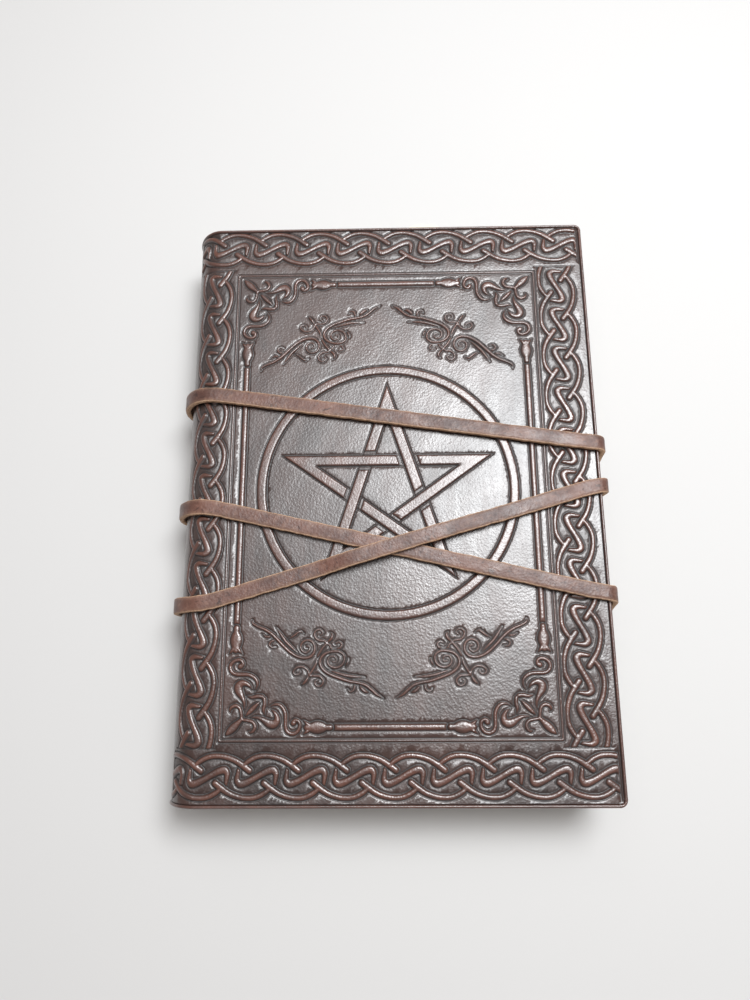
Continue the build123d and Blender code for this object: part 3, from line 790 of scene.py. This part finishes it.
thong = dict(
    width=4.5, thick=1.8,
    aLeft=30.5, aRight=13.5, bLeft=-33.8, bRight=0.5, cLeft=-5.0, cRight=-31.6,
    turn=62.0, bend=1.5, gap=0.3,         # it bends down past the fore-edge here, this tightly, this far off the leather
    hump=2.15,                            # the uppermost crossing rises this much over the one below
    drift=dict(a=-2.6, c=-3.2, b=0.6),    # how far each turn wanders down the fore-edge
    tail1=(-14.0, -9.0), tail2=(22.0, 26.0),
)


# the strap's course, piece by piece: level runs over and under the book, ellipses round the spine,
# rounded corners past the fore-edge; every point carries its outward direction
def strapCourse():
    t = thong
    zTop, zLow = book["front"] + t["gap"] + t["thick"] / 2, t["thick"] / 2
    off = t["gap"] + t["thick"] / 2
    runs = []

    def run(x0, y0, x1, y1, z, up, lift=np.zeros_like):
        n = int(abs(x1 - x0) / 0.8)
        u = np.linspace(0, 1, n, endpoint=False)
        x = x0 + u * (x1 - x0)
        runs.append(np.stack([x, y0 + u * (y1 - y0), z + lift(x), 0 * u, up + 0 * u], 1))

    def spineTurn(y):
        a = np.linspace(-np.pi / 2, np.pi / 2, 46, endpoint=False)
        A, B = book["spineDepth"] + off, book["spineHalf"] + off
        nx, nz = -np.cos(a) / A, np.sin(a) / B
        n = np.hypot(nx, nz)
        runs.append(np.stack([book["joint"] - A * np.cos(a), y + 0 * a, middle + B * np.sin(a), nx / n, nz / n], 1))

    def edgeTurn(y, drift=0.0):
        r = t["gap"] + t["bend"] + t["thick"] / 2
        a = np.linspace(np.pi / 2, 0, 7, endpoint=False)
        zc = book["front"] - t["bend"]
        down = np.linspace(zc, 2 * middle - zc, 26, endpoint=False)
        aside = drift * np.sin(np.linspace(0, np.pi, 26))
        top = np.stack([t["turn"] + r * np.cos(a), y + 0 * a, zc + r * np.sin(a), np.cos(a), np.sin(a)], 1)
        side = np.stack([t["turn"] + r + 0 * down, y + aside, down, 1 + 0 * down, 0 * down], 1)
        b = np.linspace(0, -np.pi / 2, 7, endpoint=False)
        foot = np.stack([t["turn"] + r * np.cos(b), y + 0 * b, 2 * middle - zc + r * np.sin(b), np.cos(b), np.sin(b)], 1)
        runs.extend([top, side, foot])

    hump = lambda x: t["hump"] * ease(x, -22, -9.5) * (1 - ease(x, 9.5, 46))
    run(t["tail2"][0], t["tail2"][1], book["joint"], t["aLeft"], zLow, -1)
    spineTurn(t["aLeft"])
    run(book["joint"], t["aLeft"], t["turn"], t["aRight"], zTop, 1)
    edgeTurn(t["aRight"], t["drift"]["a"])
    run(t["turn"], t["aRight"], book["joint"], t["cLeft"], zLow, -1)
    spineTurn(t["cLeft"])
    run(book["joint"], t["cLeft"], t["turn"], t["cRight"], zTop, 1)
    edgeTurn(t["cRight"], t["drift"]["c"])
    run(t["turn"], t["cRight"], book["joint"], t["bLeft"], zLow, -1)
    spineTurn(t["bLeft"])
    run(book["joint"], t["bLeft"], t["turn"], t["bRight"], zTop, 1, hump)
    edgeTurn(t["bRight"], t["drift"]["b"])
    run(t["turn"], t["bRight"], t["tail1"][0], t["tail1"][1], zLow, -1)
    course = np.vstack(runs)
    # the sideways course is evened out with a bell-shaped average
    k = np.exp(-0.5 * (np.arange(-9, 10) / 4.0) ** 2)
    course[:, 1] = np.convolve(np.pad(course[:, 1], 9, mode="reflect", reflect_type="odd"), k / k.sum(), "valid")
    return course


# a flat strap: its rounded oblong profile is set square to the course at every point,
# and its cut edges waver a little
def addThong():
    c = strapCourse()
    p, normal = c[:, :3], np.stack([c[:, 3], 0 * c[:, 3], c[:, 4]], 1)
    tangent = np.gradient(p, axis=0)
    tangent /= np.linalg.norm(tangent, axis=1)[:, None]
    normal -= (normal * tangent).sum(1)[:, None] * tangent
    normal /= np.linalg.norm(normal, axis=1)[:, None]
    side = np.cross(tangent, normal)
    length = np.concatenate([[0], np.cumsum(np.linalg.norm(np.diff(p, axis=0), axis=1))])
    print("thong length mm", round(float(length[-1]), 1))
    half, thick = thong["width"] / 2, thong["thick"] / 2
    # across, up, cut-edge share
    profile = np.array([
        (-1.0, -0.55, 1), (-0.94, -0.86, 0.7), (-0.84, -0.97, 0.15), (-0.5, -1.0, 0), (0, -1.0, 0), (0.5, -1.0, 0),
        (0.84, -0.97, 0.15), (0.94, -0.86, 0.7),
        (1.0, -0.55, 1), (1.005, 0.0, 1), (1.0, 0.5, 1), (0.955, 0.8, 0.75), (0.86, 0.94, 0.12), (0.5, 1.0, 0),
        (0, 0.97, 0), (-0.5, 1.0, 0), (-0.86, 0.94, 0.12), (-0.955, 0.8, 0.75),
        (-1.0, 0.5, 1), (-1.005, 0.0, 1),
    ])
    n, m = len(p), len(profile)
    wander = 1 + 0.035 * torn(length, 1.0, 5)[:, None] * 0.6
    ragged = 0.045 * torn(length * 3.1, 1.0, 6)[:, None] * (profile[:, 0] > 0.9)
    ragged = ragged - 0.045 * torn(length * 3.1, 1.0, 7)[:, None] * (profile[:, 0] < -0.9)
    across = profile[:, 0] * half * wander + ragged
    up = np.clip(profile[:, 1] * thick * np.ones((n, 1)) * (1 + 0.03 * torn(length, 1.0, 8)[:, None]), -thick, thick)
    points = p[:, None] + across[..., None] * side[:, None] + up[..., None] * normal[:, None]
    faces = gridQuads(n, m, loopCols=True)
    caps = []
    for row, flip in ((0, False), (n - 1, True)):
        ring = row * m + np.arange(m)
        left, right = ring[: m // 2], ring[m // 2:][::-1]
        strip = np.stack([left[:-1], left[1:], right[1:], right[:-1]], 1)
        caps.append(strip[:, ::-1] if flip else strip)
    piece = makePiece("wrapThong", points, np.vstack([faces, *caps]))
    mark(piece, "cut", np.tile(profile[:, 2], n))
    mark(piece, "flesh", np.tile((profile[:, 1] < -0.5).astype(float), n))
    return piece


wrapThong = addThong()
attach(wrapThong, "wrap_thong")
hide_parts("wrap_thong")
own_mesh(wrapThong)
print("thong done")


# a material is a list of nodes made by name, joined by short calls
class NodeBench:
    def __init__(self, name):
        self.material = bpy.data.materials.new(name)
        self.material.use_nodes = True
        self.tree = self.material.node_tree
        self.shader = self.tree.nodes["Principled BSDF"]

    def put(self, socket, value):
        if isinstance(value, bpy.types.NodeSocket):
            self.tree.links.new(value, socket)
        else:
            socket.default_value = value

    def node(self, kind, settings=None, **inputs):
        made = self.tree.nodes.new(kind)
        for key, value in (settings or {}).items():
            setattr(made, key, value)
        for key, value in inputs.items():
            self.put(made.inputs[key.replace("_", " ")], value)
        return made

    def math(self, operation, a, b=0.0, clamp=False):
        made = self.tree.nodes.new("ShaderNodeMath")
        made.operation, made.use_clamp = operation, clamp
        self.put(made.inputs[0], a)
        self.put(made.inputs[1], b)
        return made.outputs[0]

    def place(self, stretch=None):
        where = self.node("ShaderNodeTexCoord").outputs["Object"]
        return self.node("ShaderNodeMapping", Vector=where, Scale=stretch).outputs[0] if stretch else where

    def noise(self, scale, detail=4.0, roughness=0.55, distortion=0.0, stretch=None):
        settings = dict(Scale=scale, Detail=detail, Roughness=roughness, Distortion=distortion)
        return self.node("ShaderNodeTexNoise", Vector=self.place(stretch), **settings).outputs[0]

    def cells(self, scale):
        return self.node("ShaderNodeTexVoronoi", Vector=self.place(), Scale=scale).outputs["Distance"]

    def value(self, name):
        return self.node("ShaderNodeAttribute", dict(attribute_name=name)).outputs["Fac"]

    def span(self, value, low, high, outLow=0.0, outHigh=1.0):
        made = self.node("ShaderNodeMapRange")
        for i, v in enumerate((value, low, high, outLow, outHigh)):
            self.put(made.inputs[i], v)
        return made.outputs[0]

    def mix(self, share, a, b):
        made = self.tree.nodes.new("ShaderNodeMix")
        made.data_type = "RGBA"
        self.put(made.inputs[0], share)
        self.put(made.inputs[6], a)
        self.put(made.inputs[7], b)
        return made.outputs[2]

    def bump(self, height, distance, strength=1.0, before=None):
        made = self.node("ShaderNodeBump", Height=height, Distance=distance, Strength=strength)
        if before is not None:
            self.put(made.inputs["Normal"], before)
        return made.outputs[0]


# dark brown, darker in the hollows with painted shade and dark wax, redder and smoother on the ridges, with pores and
# brush marks
def coverLeather(withCut):
    b = NodeBench("chocolateLeatherEdge" if withCut else "chocolateLeather")
    hollowShadeAndWax, ridge = b.value("hollowShadeAndWax"), b.value("ridge")
    cloud = b.noise(34, 6, 0.62, 0.8)
    brushed = b.noise(260, 4, 0.6, 0.3, (1.0, 0.16, 1.0))
    specks = b.span(b.noise(1150, 3, 0.6), 0.60, 0.74, 0, 1)
    base = b.mix(b.span(cloud, 0.36, 0.66), (0.021, 0.0085, 0.0065, 1), (0.052, 0.023, 0.017, 1))
    base = b.mix(b.span(brushed, 0.45, 0.75, 0, 0.45), base, (0.078, 0.036, 0.027, 1))
    rub = b.math("MULTIPLY", ridge, b.span(b.noise(150, 4, 0.65), 0.32, 0.62, 0.25, 1.0))
    base = b.mix(b.math("MULTIPLY", rub, 0.8), base, (0.135, 0.050, 0.032, 1))
    base = b.mix(b.math("MULTIPLY", specks, 0.5), base, (0.012, 0.005, 0.004, 1))
    # painted shade, partly dark wax, takes the hollows nearly to black
    base = b.mix(b.math("MULTIPLY", hollowShadeAndWax, 0.92), base, (0.0045, 0.002, 0.0018, 1))
    if withCut:
        bare = b.math("MULTIPLY", b.value("cut"), b.span(b.noise(700, 3), 0.3, 0.7, 0.25, 0.9))
        base = b.mix(bare, base, (0.30, 0.17, 0.11, 1))
    b.put(b.shader.inputs["Base Color"], base)
    rough = b.math("ADD", b.span(cloud, 0.3, 0.7, 0.40, 0.29), b.span(brushed, 0.3, 0.7, -0.03, 0.05))
    rough = b.math("ADD", rough, b.math("MULTIPLY", hollowShadeAndWax, 0.40))
    rough = b.math("ADD", rough, b.math("MULTIPLY", specks, 0.10))
    rough = b.math("SUBTRACT", rough, b.math("MULTIPLY", rub, 0.04))
    b.put(b.shader.inputs["Roughness"], rough)
    b.shader.inputs["Specular IOR Level"].default_value = 1.0
    b.shader.inputs["Coat Weight"].default_value = 0.34
    b.shader.inputs["Coat Roughness"].default_value = 0.30
    pores, dust = b.math("MULTIPLY", b.cells(1500), 0.8), b.math("MULTIPLY", b.noise(2300, 3), 0.6)
    grain = b.bump(b.math("ADD", pores, dust), 0.00011, 0.55)
    crease = b.bump(b.noise(520, 5, 0.68, 0.7), 0.00030, 0.17, grain)
    b.put(b.shader.inputs["Normal"], crease)
    return b.material


# brown and blotchy on top, pale and fibrous along the cut edges
def thongLeather():
    b = NodeBench("thongLeather")
    cut, fleshSide = b.value("cut"), b.value("flesh")
    base = b.mix(b.span(b.noise(75, 5, 0.6), 0.34, 0.66), (0.060, 0.025, 0.019, 1), (0.155, 0.070, 0.050, 1))
    base = b.mix(b.span(b.noise(520, 4, 0.7), 0.48, 0.72, 0, 0.55), base, (0.26, 0.145, 0.105, 1))
    base = b.mix(b.span(b.noise(360, 4, 0.75, 1.2), 0.56, 0.66, 0, 0.8), base, (0.030, 0.012, 0.010, 1))
    base = b.mix(b.math("MULTIPLY", fleshSide, 0.75), base, (0.27, 0.15, 0.09, 1))
    fibre = b.noise(1500, 4, 0.7)
    base = b.mix(b.math("MULTIPLY", cut, b.span(fibre, 0.25, 0.55, 0.35, 1.0)), base, (0.66, 0.43, 0.27, 1))
    b.put(b.shader.inputs["Base Color"], base)
    rough = b.math("ADD", b.span(b.noise(180, 4), 0.3, 0.7, 0.36, 0.56), b.math("MULTIPLY", cut, 0.35))
    b.put(b.shader.inputs["Roughness"], b.math("ADD", rough, b.math("MULTIPLY", fleshSide, 0.25)))
    b.shader.inputs["Specular IOR Level"].default_value = 0.6
    grain = b.bump(b.math("ADD", b.cells(1300), b.noise(2000, 3)), 0.00010, 0.6)
    fuzz = b.bump(b.math("MULTIPLY", fibre, cut), 0.0003, 0.8, grain)
    b.put(b.shader.inputs["Normal"], b.bump(b.noise(300, 4, 0.6, 0.5), 0.00035, 0.4, fuzz))
    return b.material


# off-white, flecked, each sheet a little different
def cottonPaper():
    b = NodeBench("cottonPaper")
    tint = b.value("tint")
    base = b.mix(tint, (0.74, 0.69, 0.58, 1), (0.82, 0.78, 0.69, 1))
    base = b.mix(b.span(b.noise(1100, 4, 0.7), 0.5, 0.8, 0, 0.35), base, (0.62, 0.54, 0.42, 1))
    b.put(b.shader.inputs["Base Color"], base)
    b.shader.inputs["Roughness"].default_value = 0.92
    cockle = b.bump(b.noise(240, 4, 0.6, 1.0), 0.0003, 0.25)
    b.put(b.shader.inputs["Normal"], b.bump(b.noise(1600, 5, 0.7), 0.00012, 0.5, cockle))
    return b.material


# the suede side of the leather
def fleshLeather():
    b = NodeBench("fleshSideLeather")
    nap = b.span(b.noise(900, 4, 0.7), 0.3, 0.7)
    b.put(b.shader.inputs["Base Color"], b.mix(nap, (0.14, 0.075, 0.048, 1), (0.26, 0.15, 0.10, 1)))
    b.shader.inputs["Roughness"].default_value = 0.85
    b.put(b.shader.inputs["Normal"], b.bump(b.noise(1800, 5, 0.75), 0.00015, 0.6))
    return b.material


# threads over and under: two sets of waves at right angles
def wovenCloth(name, colour, pitch):
    b = NodeBench(name)
    settings = dict(Vector=b.place(), Scale=pitch, Distortion=0.6)
    weft = b.node("ShaderNodeTexWave", dict(bands_direction="Y"), **settings).outputs["Fac"]
    warp = b.node("ShaderNodeTexWave", dict(bands_direction="Z"), **settings).outputs["Fac"]
    cloth = b.math("MULTIPLY", weft, warp)
    dark = tuple(c * 0.62 for c in colour[:3]) + (1,)
    b.put(b.shader.inputs["Base Color"], b.mix(cloth, dark, colour))
    b.shader.inputs["Roughness"].default_value = 0.9
    b.put(b.shader.inputs["Normal"], b.bump(cloth, 0.0001, 0.7))
    return b.material


# speckled pulp board
def greyBoard():
    b = NodeBench("greyBoard")
    b.put(b.shader.inputs["Base Color"], b.mix(b.noise(500, 4), (0.30, 0.26, 0.21, 1), (0.42, 0.37, 0.30, 1)))
    b.shader.inputs["Roughness"].default_value = 0.9
    b.put(b.shader.inputs["Normal"], b.bump(b.noise(1200, 3), 0.0001, 0.5))
    return b.material


# one material for the whole piece
def dress(piece, material):
    piece.data.materials.clear()
    piece.data.materials.append(material)


plain, edged, paperStuff, flesh = coverLeather(False), coverLeather(True), cottonPaper(), fleshLeather()
for piece in (frontPanel, frontBorder, backPanel, backBorder):
    dress(piece, plain)
for piece in (frontRim, backRim):
    dress(piece, edged)
for piece in (frontFold, backFold):
    dress(piece, flesh)
dress(wrapThong, thongLeather())
for piece in bpy.data.objects:
    if piece.name.endswith(("Sheets", "Sheet")):
        dress(piece, paperStuff)
board = greyBoard()
lining = wovenCloth("liningCloth", (0.52, 0.47, 0.37, 1), 900)
tape = wovenCloth("linenTape", (0.66, 0.61, 0.49, 1), 700)
for node, made in frame["nodes"].items():
    if node.endswith("board"):
        dress(made, board)
    elif node == "spine_lining":
        dress(made, lining)
    elif node.startswith(("sewing", "kettle")):
        dress(made, tape)
print("materials done")


# the room: a pale floor, a window-like lamp over the head, and a broad soft one above it
room = dict(
    aim=(0.0, 0.0, 0.02),
    lamps=dict(
        window=dict(place=(0.165, 0.165, 0.62), size=(0.27, 0.25), power=4.7, colour=(0.95, 0.98, 1.0)),
        ceiling=dict(place=(0.10, 0.30, 1.05), size=(1.3, 1.0), power=4.6, colour=(0.98, 0.99, 1.0)),
    ),
    air=(1.0, 0.93, 0.90, 1), airStrength=0.28,
    floorColour=(0.62, 0.61, 0.60, 1), floorHalf=2, floorTop=-0.0002,
)


# a flat lamp, its face turned square to the line from its aim
def addLamp(name, place, size, power, colour):
    light = bpy.data.lights.new(name, "AREA")
    light.shape, light.energy, light.color = "RECTANGLE", power, colour
    light.size, light.size_y = size
    lamp = bpy.data.objects.new(name, light)
    lamp.location = place
    lamp.rotation_euler = (Vector(place) - Vector(room["aim"])).to_track_quat("Z", "Y").to_euler()
    bpy.context.scene.collection.objects.link(lamp)


floorMesh = bpy.data.meshes.new("floor")
half, top = room["floorHalf"], room["floorTop"]
floorCorners = [(-half, -half, top), (half, -half, top), (half, half, top), (-half, half, top)]
floorMesh.from_pydata(floorCorners, [], [(0, 1, 2, 3)])
floor = bpy.data.objects.new("floor", floorMesh)
bpy.context.scene.collection.objects.link(floor)
floorPaint = NodeBench("paleFloor")
floorPaint.shader.inputs["Base Color"].default_value = room["floorColour"]
floorPaint.shader.inputs["Roughness"].default_value = 0.9
dress(floor, floorPaint.material)

for name, lamp in room["lamps"].items():
    addLamp(name, **lamp)
world = bpy.data.worlds.new("room")
world.use_nodes = True
world.node_tree.nodes["Background"].inputs[0].default_value = room["air"]
world.node_tree.nodes["Background"].inputs[1].default_value = room["airStrength"]
bpy.context.scene.world = world

viewpoint = dict(
    lens=25.2, sensor=36.0, nearest=0.01,
    place=(-0.00063, -0.05202, 0.22995),
    right=(0.9998, -0.00573, -0.01917), up=(0.01005, 0.97229, 0.23357), backward=(0.0173, -0.23372, 0.97215),
)
camera = bpy.data.objects.new("camera", bpy.data.cameras.new("camera"))
camera.data.sensor_width, camera.data.lens = viewpoint["sensor"], viewpoint["lens"]
camera.data.clip_start = viewpoint["nearest"]
turn = Matrix([viewpoint[side] for side in ("right", "up", "backward")]).transposed().to_4x4()
camera.matrix_world = Matrix.Translation(viewpoint["place"]) @ turn
bpy.context.scene.collection.objects.link(camera)
bpy.context.scene.camera = camera
bpy.context.scene.view_settings.view_transform = "Standard"
